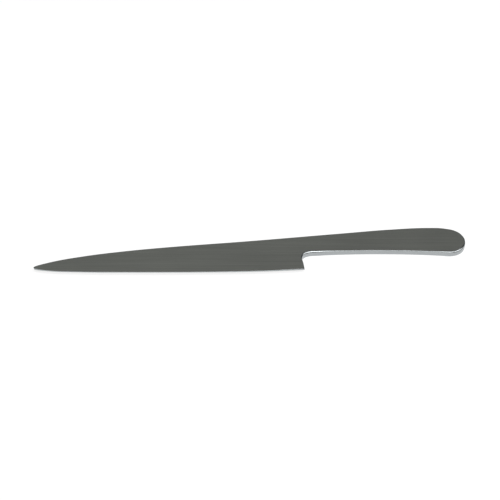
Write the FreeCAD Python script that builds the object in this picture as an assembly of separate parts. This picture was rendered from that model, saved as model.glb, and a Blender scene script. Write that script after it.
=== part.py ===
import FreeCAD, Part
import math
import os

# A paper knife cut from one steel blank: point, blade, finger notch and handle are one piece.
# It lies flat on XY with +Z up. Its length runs along X, the point towards -X, and the
# cutting edge faces -Y. The origin is the middle of the rectangle that it covers, on the
# surface that it rests on. All sizes are in millimetres, all angles in degrees.

LENGTH = 225.0            # point to butt
WIDTH = 32.75             # lowest part of the cutting edge to the top of the handle's hump
THICKNESS = 3.0           # the sheet that the blank is cut from
BLADE_LENGTH = 140.0      # point to heel
BUTT_WIDTH = 18.25        # the handle swells to this at its rounded end
NOTCH_DEPTH = 1.0         # the notch's wall leans this far back from the heel, towards the point
NOTCH_RADIUS = 3.6        # round corner between the notch's wall and the handle
POINT_RADIUS = 0.65       # the tip is blunted, so that it opens paper and doesn't prick
EDGE_THICKNESS = 0.35     # what the grind leaves at the cutting edge
GRIND_WIDTH = 13.0        # the ground flat reaches this far in from the cutting edge
EDGE_RADIUS = 0.2         # polishing takes the sharp corners off all round


def at(station, height, z=0.0):
    """A place given by its distance from the point and its height above the cutting edge."""
    return FreeCAD.Vector(station - LENGTH / 2, height - WIDTH / 2, z)


def heading(degrees):
    """The direction of travel along the outline, counted from +X."""
    return FreeCAD.Vector(math.cos(math.radians(degrees)), math.sin(math.radians(degrees)), 0.0)


def around(centre, radius, degrees):
    """A place on the circle about a centre."""
    return centre + heading(degrees) * radius


def curve(places, leaves, arrives):
    """A smooth line through the places, with its heading at either end."""
    line = Part.BSplineCurve()
    line.interpolate(Points=places, InitialTangent=heading(leaves), FinalTangent=heading(arrives))
    return line.toShape()


def outline():
    """The blank's outline, clockwise: spine, butt, handle, notch, cutting edge, point."""
    # The small arc at the tip meets the spine and the cutting edge with no corner.
    point_centre = at(POINT_RADIUS, 3.4)
    spine_leaves = 32.0
    edge_arrives = 156.0
    point_top = around(point_centre, POINT_RADIUS, spine_leaves + 90.0)
    point_front = around(point_centre, POINT_RADIUS, 180.0)
    point_low = around(point_centre, POINT_RADIUS, edge_arrives + 90.0)
    point = Part.Arc(point_low, point_front, point_top).toShape()

    # The spine bows up from the point, runs on almost straight, and ends in the handle's hump.
    bow_end = at(67.5, 18.05)
    bow_arrives = 6.9
    bow_places = [point_top, at(8.5, 7.25), at(24.5, 11.35), at(44.5, 14.95), bow_end]
    bow = curve(bow_places, spine_leaves, bow_arrives)
    hump = at(207.5, WIDTH)
    spine_places = [bow_end, at(112.5, 22.9), at(160.5, 28.55), at(186.5, 31.5), hump]
    spine = curve(spine_places, bow_arrives, 0.0)

    # The butt is rounded, a little fuller above than below.
    butt = at(LENGTH, 22.2)
    butt_low = at(217.8, WIDTH - BUTT_WIDTH)
    shoulder = [hump, at(215.0, 32.15), at(221.0, 30.15), at(224.0, 26.6), butt]
    butt_upper = curve(shoulder, 0.0, -90.0)
    butt_lower = curve([butt, at(224.0, 18.7), at(221.7, 16.0), butt_low], -90.0, 180.0)

    # The handle's underside is slightly hollow, and turns down into the notch's round corner.
    notch_centre = at(BLADE_LENGTH - NOTCH_DEPTH + NOTCH_RADIUS, 10.6)
    underside_arrives = 188.0
    notch_top = around(notch_centre, NOTCH_RADIUS, underside_arrives - 90.0)
    notch_corner = around(notch_centre, NOTCH_RADIUS, 135.0)
    notch_side = around(notch_centre, NOTCH_RADIUS, 180.0)
    underside_far = [butt_low, at(212.0, 14.75), at(202.5, 15.35), at(180.5, 15.85)]
    underside_near = [at(159.5, 15.5), at(148.0, 14.8), notch_top]
    underside = curve(underside_far + underside_near, 180.0, underside_arrives)
    notch = Part.Arc(notch_top, notch_corner, notch_side).toShape()
    heel = at(BLADE_LENGTH, 2.4)
    wall = curve([notch_side, at(139.6, 6.5), heel], -90.0, -83.0)

    # The cutting edge is a long shallow belly, lowest a quarter of the way from the point.
    belly = at(52.5, 0.0)
    edge_heel = curve([heel, at(120.5, 1.05), at(87.5, 0.15), belly], 187.0, 180.0)
    edge_point = curve([belly, at(22.5, 0.3), at(8.5, 1.1), point_low], 180.0, edge_arrives)

    handle = [butt_upper, butt_lower, underside, notch, wall]
    return Part.Wire([bow, spine, *handle, edge_heel, edge_point, point])


def blank():
    """The sheet as it is cut, with its sharp corners polished off."""
    sheet = Part.Face(outline()).extrude(FreeCAD.Vector(0.0, 0.0, THICKNESS))
    rims = [edge for edge in sheet.Edges if edge.BoundBox.ZLength < THICKNESS / 2]
    return sheet.makeFillet(EDGE_RADIUS, rims)


def grind():
    """The wedge ground off the underside, from the cutting edge in to the full thickness."""
    clearance = 2.0
    slope = (THICKNESS - EDGE_THICKNESS) / GRIND_WIDTH
    outer = -clearance
    inner = GRIND_WIDTH + clearance
    upper = THICKNESS - EDGE_THICKNESS + clearance * slope
    lower = -clearance * slope
    corners = [(outer, upper), (inner, lower), (outer, lower), (outer, upper)]
    profile = Part.makePolygon([at(-clearance, height, z) for height, z in corners])
    return Part.Face(profile).extrude(FreeCAD.Vector(LENGTH + 2 * clearance, 0.0, 0.0))


os.makedirs("parts", exist_ok=True)
knife = blank().cut(grind()).Solids[0]
knife.exportStep("parts/paper_knife.step")
box = knife.optimalBoundingBox()
print("solid is sound:", knife.isValid())
print("size in mm:", round(box.XLength, 3), round(box.YLength, 3), round(box.ZLength, 3))
print("lowest corner in mm:", round(box.XMin, 3), round(box.YMin, 3), round(box.ZMin, 3))
print("volume in mm3:", round(knife.Volume, 1))
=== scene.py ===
import math

import bmesh
import bpy
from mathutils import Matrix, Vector


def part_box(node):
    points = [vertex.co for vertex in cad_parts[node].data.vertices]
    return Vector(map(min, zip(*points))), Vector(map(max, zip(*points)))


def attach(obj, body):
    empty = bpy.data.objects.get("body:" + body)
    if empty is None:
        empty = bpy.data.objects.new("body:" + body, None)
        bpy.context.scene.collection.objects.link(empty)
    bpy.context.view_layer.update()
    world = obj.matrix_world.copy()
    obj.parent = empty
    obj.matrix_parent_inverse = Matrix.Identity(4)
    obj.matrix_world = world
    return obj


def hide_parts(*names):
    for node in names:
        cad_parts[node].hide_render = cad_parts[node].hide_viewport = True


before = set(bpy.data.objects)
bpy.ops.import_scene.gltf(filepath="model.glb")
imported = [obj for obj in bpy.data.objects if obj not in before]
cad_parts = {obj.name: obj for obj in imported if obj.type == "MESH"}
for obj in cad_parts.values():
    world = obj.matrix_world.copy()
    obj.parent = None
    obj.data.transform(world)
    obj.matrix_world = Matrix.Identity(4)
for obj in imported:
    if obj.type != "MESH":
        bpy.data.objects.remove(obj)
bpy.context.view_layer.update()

# The paper knife is one blank of stainless steel sheet with its point, blade, finger notch and
# handle in one. Its two faces are satin finished along its length, its rims are rounded over and
# polished, and a flat is ground along the blade's underside so that the cutting edge is thin.
MM = 0.001
low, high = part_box("paper_knife")
LENGTH = high.x - low.x
THICKNESS = high.z - low.z
RIM_ROUNDING = 0.12 * MM
HEAVY_ROUNDING = 0.95 * MM
EDGE_THICKNESS = 0.35 * MM
GRIND_WIDTH = 13 * MM
RUBBED_WIDTH = 0.5 * MM
STRIPS = 56
HEEL = (140.0, 2.4)
NOTCH_CORNER = (142.0, 14.0)
BUTT_CORNER = (221.5, 16.5)

# Stations along the knife from its point, and heights above the lowest part of the cutting edge.
OUTLINE = [
    (0.0, 3.4), (0.3, 3.95), (8.5, 7.25), (24.5, 11.35), (44.5, 14.95), (67.5, 18.05), (112.5, 22.9),
    (160.5, 28.55), (186.5, 31.5), (207.5, 32.75), (215.0, 32.25), (221.0, 30.2), (224.1, 26.6),
    (225.0, 22.2), (224.0, 18.7), (221.7, 16.05), (217.8, 14.5), (212.0, 14.75), (202.5, 15.35),
    (180.5, 15.85), (159.5, 15.5), (148.0, 14.8), (142.4, 14.2), (140.05, 13.0), (139.0, 10.6),
    (139.5, 6.5), HEEL, (120.5, 1.05), (87.5, 0.15), (52.5, 0.0), (22.5, 0.3), (8.5, 1.1), (0.4, 2.8),
]


def knife_outline():
    """The outline as a smooth closed curve, with its one sharp corner at the heel."""
    line = bpy.data.curves.new("outline", "CURVE")
    line.dimensions = "2D"
    line.fill_mode = "NONE"
    line.resolution_u = 12
    spline = line.splines.new("BEZIER")
    spline.use_cyclic_u = True
    spline.bezier_points.add(len(OUTLINE) - 1)
    for place, (station, height) in zip(spline.bezier_points, OUTLINE):
        place.co = (low.x + station * MM, low.y + height * MM, 0)
        kind = "VECTOR" if (station, height) == HEEL else "AUTO"
        place.handle_left_type = place.handle_right_type = kind
    holder = bpy.data.objects.new("outline", line)
    bpy.context.collection.objects.link(holder)
    bpy.context.view_layer.update()
    made = bpy.data.meshes.new_from_object(holder)
    bpy.data.objects.remove(holder)
    return made


def closeness(station, height, centre, reach):
    """Fades smoothly from 1 at the centre to 0 at the reach, which differs along and across."""
    away = math.hypot((station - centre[0]) / reach[0], (height - centre[1]) / reach[1])
    near = max(0.0, 1.0 - away)
    return near * near * (3 - 2 * near)


# The outline is one face, whose corners are numbered so that they are known after an extrusion.
bm = bmesh.new()
bm.from_mesh(knife_outline())
bmesh.ops.remove_doubles(bm, verts=bm.verts, dist=0.001 * MM)
bmesh.ops.contextual_create(bm, geom=bm.edges[:])
bm.faces.ensure_lookup_table()
number = bm.verts.layers.int.new("number")
line = [vert.co.copy() for vert in bm.faces[0].verts]
for k, vert in enumerate(bm.faces[0].verts):
    vert[number] = k
facing = 1 if bm.faces[0].normal.z > 0 else -1
sides = [(line[(k + 1) % len(line)] - line[k - 1]).normalized() for k in range(len(line))]
inward = [facing * Vector((-side.y, side.x, 0)) for side in sides]

# The rims are rounded over: lightly all round, and more at the notch and under the butt, on the
# upper side, where a finger and the palm bear on them.
heavy = []
for corner in line:
    station, height = (corner.x - low.x) / MM, (corner.y - low.y) / MM
    at_notch = closeness(station, height, NOTCH_CORNER, (22.0, 8.0))
    at_butt = closeness(station, height, BUTT_CORNER, (16.0, 9.0))
    heavy.append(RIM_ROUNDING + (HEAVY_ROUNDING - RIM_ROUNDING) * max(at_notch, at_butt))
light = [RIM_ROUNDING] * len(line)

# The sheet is raised from the outline ring by ring: the lower rounding, the wall, the upper one.
rings = [(low.z, light, 1, turn) for turn in (-90, -72, -54, -36, -18, 0)]
rings += [(high.z, heavy, -1, turn) for turn in (0, 11, 22, 33, 45, 56, 67, 78, 90)]
cap = bm.faces[0]
for k, (face_z, radii, way, turn) in enumerate(rings):
    if k > 0:
        raised = bmesh.ops.extrude_face_region(bm, geom=[cap])["geom"]
        if k > 1:
            bmesh.ops.delete(bm, geom=[cap], context="FACES_ONLY")
        cap = [piece for piece in raised if isinstance(piece, bmesh.types.BMFace)][0]
    for vert in cap.verts:
        radius = radii[vert[number]]
        inset = inward[vert[number]] * radius * (1 - math.cos(math.radians(turn)))
        level = face_z + way * radius + radius * math.sin(math.radians(turn))
        vert.co = line[vert[number]] + inset + Vector((0, 0, level))
bmesh.ops.recalc_face_normals(bm, faces=bm.faces)

# A narrow border of each face is marked as rubbed, where the polishing wheel ran over it.
rubbed = bm.verts.layers.float.new("rubbed")
for vert in bm.verts:
    vert[rubbed] = 1.0
faces = sorted(bm.faces, key=lambda face: face.calc_area())[-2:]
bmesh.ops.inset_region(bm, faces=faces, thickness=RUBBED_WIDTH, use_even_offset=True)
for face in faces:
    for vert in face.verts:
        vert[rubbed] = 0.0

# The blade's underside is ground away to a thin edge, and the faces are cut into strips across
# the knife, which keeps their triangles from being long slivers.
ground = bmesh.ops.bisect_plane(
    bm,
    geom=bm.verts[:] + bm.edges[:] + bm.faces[:],
    plane_co=(0, low.y + GRIND_WIDTH, low.z),
    plane_no=(0, EDGE_THICKNESS - THICKNESS, -GRIND_WIDTH),
    clear_outer=True,
)
cut = [e for e in ground["geom_cut"] if isinstance(e, bmesh.types.BMEdge)]
bmesh.ops.edgenet_fill(bm, edges=[e for e in cut if e.is_boundary])
for k in range(1, STRIPS):
    bmesh.ops.bisect_plane(
        bm,
        geom=bm.verts[:] + bm.edges[:] + bm.faces[:],
        plane_co=(low.x + LENGTH * k / STRIPS, 0, 0),
        plane_no=(1, 0, 0),
    )
bmesh.ops.recalc_face_normals(bm, faces=bm.faces)
blank = bpy.data.meshes.new("paper_knife_steel")
knife = bpy.data.objects.new("paper_knife_steel", blank)
bpy.context.collection.objects.link(knife)
bm.to_mesh(blank)
bm.free()


def linear(colour):
    """An sRGB hex colour as linear light."""
    parts = [int(colour[k:k + 2], 16) / 255 for k in (1, 3, 5)]
    return [c / 12.92 if c <= 0.04045 else ((c + 0.055) / 1.055) ** 2.4 for c in parts] + [1.0]


def add(tree, kind, links={}, **settings):
    """Adds a node, sets its properties and its unlinked sockets, and links the others."""
    node = tree.nodes.new(kind)
    for name, value in settings.items():
        if hasattr(node, name):
            setattr(node, name, value)
        else:
            node.inputs[name.replace("_", " ")].default_value = value
    for name, source in links.items():
        tree.links.new(source, node.inputs[name])
    return node


# Satin stainless steel: both faces are brushed along the knife with a fine abrasive belt, so
# their grain runs along X. Handling has left faint hairlines, and the border is rubbed smoother.
satin = bpy.data.materials.new("satin stainless steel, belt brushed")
satin.use_nodes = True
tree = satin.node_tree
steel = tree.nodes["Principled BSDF"]
steel.inputs["Metallic"].default_value = 1.0
place = add(tree, "ShaderNodeTexCoord").outputs["Object"]

# The belt's marks are 0.1 to 0.2 mm apart. They are drawn 0.7 mm apart, so that they are seen.
fine = add(tree, "ShaderNodeMapping", {"Vector": place}, Scale=(18, 1400, 0)).outputs[0]
marks = add(tree, "ShaderNodeTexNoise", {"Vector": fine}, Scale=1.0, Detail=3.0, Roughness=0.6)
broad = add(tree, "ShaderNodeMapping", {"Vector": place}, Scale=(6, 320, 0)).outputs[0]
bands = add(tree, "ShaderNodeTexNoise", {"Vector": broad}, Scale=1.0, Detail=2.0)
grain = add(tree, "ShaderNodeMix", {2: marks.outputs[0], 3: bands.outputs[0]}, Factor=0.5).outputs[0]

# Soft clouds 20 to 40 mm across, where the belt bore harder or a hand has held the knife.
wide = add(tree, "ShaderNodeMapping", {"Vector": place}, Scale=(28, 45, 0)).outputs[0]
clouds = add(tree, "ShaderNodeTexNoise", {"Vector": wide}, Scale=1.0, Detail=3.0).outputs[0]

# Faint hairlines 10 to 20 mm long lie a few degrees off the grain, in two sets that cross.
sets = []
for turn, start in ((7, 0.0), (-11, 3.7)):
    lie = add(
        tree, "ShaderNodeMapping", {"Vector": place}, Scale=(24, 1100, 0),
        Rotation=(0, 0, math.radians(turn)), Location=(start, start, 0),
    ).outputs[0]
    strokes = add(tree, "ShaderNodeTexNoise", {"Vector": lie}, Scale=1.0, Detail=1.0).outputs[0]
    sets.append(add(
        tree, "ShaderNodeMapRange", {"Value": strokes}, interpolation_type="SMOOTHSTEP",
        From_Min=0.66, From_Max=0.72, To_Max=0.4,
    ).outputs[0])
hairlines = add(tree, "ShaderNodeMath", {0: sets[0], 1: sets[1]}, operation="MAXIMUM").outputs[0]

# The rubbed border is uneven, because the wheel and later handling catch some places more.
close = add(tree, "ShaderNodeMapping", {"Vector": place}, Scale=(160, 160, 160)).outputs[0]
patches = add(tree, "ShaderNodeTexNoise", {"Vector": close}, Scale=1.0, Detail=4.0).outputs[0]
uneven = add(
    tree, "ShaderNodeMapRange", {"Value": patches}, From_Min=0.38, From_Max=0.6, To_Min=0.3,
).outputs[0]
border = add(tree, "ShaderNodeAttribute", attribute_name="rubbed").outputs["Fac"]
worn = add(tree, "ShaderNodeMath", {0: border, 1: uneven}, operation="MULTIPLY").outputs[0]

# Colour: the grain's tone, then the clouds, then the brighter metal of hairlines and border.
tone = add(tree, "ShaderNodeMix", {0: grain}, data_type="RGBA")
tone.inputs[6].default_value = linear("#82847F")
tone.inputs[7].default_value = linear("#DCDEDA")
shade = add(tree, "ShaderNodeMix", {0: clouds}, data_type="RGBA")
shade.inputs[6].default_value = linear("#F0F1EE")
shade.inputs[7].default_value = linear("#FFFFFF")
clouded = add(
    tree, "ShaderNodeMix", {6: tone.outputs[2], 7: shade.outputs[2]},
    data_type="RGBA", blend_type="MULTIPLY", Factor=1.0,
).outputs[2]
bare = add(tree, "ShaderNodeMath", {0: worn, 1: hairlines}, operation="MAXIMUM").outputs[0]
part_bare = add(tree, "ShaderNodeMath", {0: bare}, operation="MULTIPLY")
part_bare.inputs[1].default_value = 0.3
brighter = add(tree, "ShaderNodeMix", {0: part_bare.outputs[0], 6: clouded}, data_type="RGBA")
brighter.inputs[7].default_value = linear("#D2D4D2")
tree.links.new(brighter.outputs[2], steel.inputs["Base Color"])

# Roughness: duller in the grain's valleys and the clouds, smoother where the metal is rubbed.
dull = add(
    tree, "ShaderNodeMapRange", {"Value": grain},
    From_Min=0.3, From_Max=0.7, To_Min=0.41, To_Max=0.31,
).outputs[0]
held = add(
    tree, "ShaderNodeMapRange", {"Value": clouds},
    From_Min=0.3, From_Max=0.7, To_Min=0.03, To_Max=-0.03,
).outputs[0]
mixed = add(tree, "ShaderNodeMath", {0: dull, 1: held}, operation="ADD").outputs[0]
smoothing = add(tree, "ShaderNodeMath", {0: bare}, operation="MULTIPLY")
smoothing.inputs[1].default_value = 0.1
rough = add(
    tree, "ShaderNodeMath", {0: mixed, 1: smoothing.outputs[0]}, operation="SUBTRACT",
).outputs[0]
tree.links.new(rough, steel.inputs["Roughness"])

# Relief: the grain is about 0.01 mm deep as drawn, and a hairline cuts a little into it.
cuts = add(tree, "ShaderNodeMath", {0: grain, 1: hairlines}, operation="SUBTRACT").outputs[0]
relief = add(tree, "ShaderNodeBump", {"Height": cuts}, Strength=1.0, Distance=0.01 * MM)
tree.links.new(relief.outputs["Normal"], steel.inputs["Normal"])

# Polished stainless steel: a felt wheel with compound has gone round the rims, so they are
# smoother and a little bluer than the faces, and its marks run round the knife.
polished = bpy.data.materials.new("polished stainless steel, felt wheel")
polished.use_nodes = True
tree = polished.node_tree
steel = tree.nodes["Principled BSDF"]
steel.inputs["Metallic"].default_value = 1.0
place = add(tree, "ShaderNodeTexCoord").outputs["Object"]

# The wheel's marks are 0.1 mm apart, and are drawn 0.4 mm apart so that they are seen.
round_way = add(tree, "ShaderNodeMapping", {"Vector": place}, Scale=(45, 45, 2500)).outputs[0]
marks = add(tree, "ShaderNodeTexNoise", {"Vector": round_way}, Scale=1.0, Detail=2.0).outputs[0]
wide = add(tree, "ShaderNodeMapping", {"Vector": place}, Scale=(90, 90, 90)).outputs[0]
smears = add(tree, "ShaderNodeTexNoise", {"Vector": wide}, Scale=1.0, Detail=3.0).outputs[0]
both = add(tree, "ShaderNodeMix", {2: marks, 3: smears}, Factor=0.4).outputs[0]
tone = add(tree, "ShaderNodeMix", {0: both}, data_type="RGBA")
tone.inputs[6].default_value = linear("#989C9D")
tone.inputs[7].default_value = linear("#B3B7B9")
tree.links.new(tone.outputs[2], steel.inputs["Base Color"])
rough = add(
    tree, "ShaderNodeMapRange", {"Value": both},
    From_Min=0.3, From_Max=0.7, To_Min=0.25, To_Max=0.15,
).outputs[0]
tree.links.new(rough, steel.inputs["Roughness"])
relief = add(tree, "ShaderNodeBump", {"Height": marks}, Strength=1.0, Distance=0.004 * MM)
tree.links.new(relief.outputs["Normal"], steel.inputs["Normal"])

# Ground stainless steel: the flat under the blade comes straight off a stone that was fed across
# it, so its marks run from the spine's side to the cutting edge, and it's duller than the faces.
stone_cut = bpy.data.materials.new("ground stainless steel, stone cut")
stone_cut.use_nodes = True
tree = stone_cut.node_tree
steel = tree.nodes["Principled BSDF"]
steel.inputs["Metallic"].default_value = 1.0
place = add(tree, "ShaderNodeTexCoord").outputs["Object"]

# The stone's marks are 0.2 mm apart, and are drawn 0.6 mm apart so that they are seen.
across = add(tree, "ShaderNodeMapping", {"Vector": place}, Scale=(1700, 40, 40)).outputs[0]
marks = add(tree, "ShaderNodeTexNoise", {"Vector": across}, Scale=1.0, Detail=3.0).outputs[0]
passes = add(tree, "ShaderNodeMapping", {"Vector": place}, Scale=(110, 20, 20)).outputs[0]
steps = add(tree, "ShaderNodeTexNoise", {"Vector": passes}, Scale=1.0, Detail=1.0).outputs[0]
both = add(tree, "ShaderNodeMix", {2: marks, 3: steps}, Factor=0.4).outputs[0]
tone = add(tree, "ShaderNodeMix", {0: both}, data_type="RGBA")
tone.inputs[6].default_value = linear("#9EA09D")
tone.inputs[7].default_value = linear("#C2C4C1")
tree.links.new(tone.outputs[2], steel.inputs["Base Color"])
rough = add(
    tree, "ShaderNodeMapRange", {"Value": both},
    From_Min=0.3, From_Max=0.7, To_Min=0.44, To_Max=0.32,
).outputs[0]
tree.links.new(rough, steel.inputs["Roughness"])
relief = add(tree, "ShaderNodeBump", {"Height": marks}, Strength=1.0, Distance=0.012 * MM)
tree.links.new(relief.outputs["Normal"], steel.inputs["Normal"])

# The faces are satin, the slanting flat is ground, and all the rest is polished rim.
for material in (satin, polished, stone_cut):
    blank.materials.append(material)
slant = Vector((0, EDGE_THICKNESS - THICKNESS, -GRIND_WIDTH)).normalized()
for face in blank.polygons:
    if abs(face.normal.z) > 0.9999:
        face.material_index = 0
    elif face.normal.dot(slant) > 0.9999:
        face.material_index = 2
    else:
        face.material_index = 1
    face.use_smooth = face.material_index == 1
blank.set_sharp_from_angle(angle=math.radians(35))
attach(knife, "root")
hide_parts("paper_knife")

# The floor is a plain white studio board, lit through from below like a light table, so that
# it stays pale right up to the knife.
bm = bmesh.new()
bmesh.ops.create_circle(bm, cap_ends=True, segments=96, radius=4.0)
disc = bpy.data.meshes.new("floor")
bm.to_mesh(disc)
bm.free()
floor = bpy.data.objects.new("floor", disc)
bpy.context.collection.objects.link(floor)
board = bpy.data.materials.new("white studio board")
board.use_nodes = True
surface = board.node_tree.nodes["Principled BSDF"]
surface.inputs["Base Color"].default_value = linear("#8C8C8C")
surface.inputs["Roughness"].default_value = 0.9
surface.inputs["Specular IOR Level"].default_value = 0.1
surface.inputs["Emission Color"].default_value = (1, 1, 1, 1)
surface.inputs["Emission Strength"].default_value = 0.8
disc.materials.append(board)


# One softbox hangs over the camera and another to its right. They give the rounded rims of the
# notch and the butt their bright line.
SOFTBOX_SIZE = 0.75
SOFTBOX_DISTANCE = 1.2


def softbox(name, azimuth, elevation, radiance):
    """A soft square lamp that faces the knife; azimuth 0 is over the camera, 90 over +X."""
    lamp = bpy.data.lights.new(name, "AREA")
    lamp.shape = "SQUARE"
    lamp.size = SOFTBOX_SIZE
    lamp.energy = radiance * (math.pi * SOFTBOX_SIZE) ** 2 / 4
    made = bpy.data.objects.new(name, lamp)
    a, e = math.radians(azimuth), math.radians(elevation)
    way = Vector((math.sin(a) * math.cos(e), -math.cos(a) * math.cos(e), math.sin(e)))
    made.location = way * SOFTBOX_DISTANCE
    made.rotation_euler = (-way).to_track_quat("-Z", "Y").to_euler()
    bpy.context.collection.objects.link(made)


softbox("overhead softbox", 18, 68, 4.5)
softbox("side softbox", 82, 47, 2.8)

# The studio is white low down all round and bright overhead. A dark cloth hangs behind the
# knife, darker at its right, and the knife's upper face mirrors it. The room behind the camera
# is dim.
world = bpy.data.worlds.new("studio")
bpy.context.scene.world = world
world.use_nodes = True
tree = world.node_tree
way = add(tree, "ShaderNodeTexCoord").outputs["Generated"]
parts = add(tree, "ShaderNodeSeparateXYZ", {"Vector": way})
above = add(
    tree, "ShaderNodeMapRange", {"Value": parts.outputs["Z"]}, interpolation_type="SMOOTHSTEP",
    From_Min=0.12, From_Max=0.17,
).outputs[0]
behind = add(
    tree, "ShaderNodeMapRange", {"Value": parts.outputs["Y"]}, interpolation_type="SMOOTHSTEP",
    From_Min=0.0, From_Max=0.45,
).outputs[0]
cloth = add(tree, "ShaderNodeMath", {0: above, 1: behind}, operation="MULTIPLY").outputs[0]
overhead = add(
    tree, "ShaderNodeMapRange", {"Value": parts.outputs["Z"]}, interpolation_type="SMOOTHSTEP",
    From_Min=0.75, From_Max=0.86,
).outputs[0]
room = add(tree, "ShaderNodeMix", {0: above}, data_type="RGBA")
room.inputs[6].default_value = (1, 1, 1, 1)
room.inputs[7].default_value = (0.04, 0.04, 0.04, 1)
ceiling = add(tree, "ShaderNodeMix", {0: overhead, 6: room.outputs[2]}, data_type="RGBA")
ceiling.inputs[7].default_value = (1.2, 1.2, 1.2, 1)
rightward = add(
    tree, "ShaderNodeMapRange", {"Value": parts.outputs["X"]}, From_Min=0.05, From_Max=0.22,
).outputs[0]
dark = add(tree, "ShaderNodeMix", {0: rightward}, data_type="RGBA")
dark.inputs[6].default_value = (0.188, 0.192, 0.186, 1)
dark.inputs[7].default_value = (0.094, 0.096, 0.094, 1)
sky = add(
    tree, "ShaderNodeMix", {0: cloth, 6: ceiling.outputs[2], 7: dark.outputs[2]}, data_type="RGBA",
)
tree.links.new(sky.outputs[2], tree.nodes["Background"].inputs["Color"])

# The camera looks down at 45 degrees on the middle of the knife, from its cutting edge's side.
SIGHT = Vector((-0.7 * MM, 2.73 * MM, 0))
CAMERA_HEIGHT = 516.44 * MM
bpy.context.scene.view_settings.view_transform = "Standard"
camera = bpy.data.objects.new("camera", bpy.data.cameras.new("camera"))
bpy.context.collection.objects.link(camera)
camera.data.lens = 100
camera.location = SIGHT + Vector((0, -CAMERA_HEIGHT, CAMERA_HEIGHT))
camera.rotation_euler = (math.radians(45), 0, 0)
bpy.context.scene.camera = camera
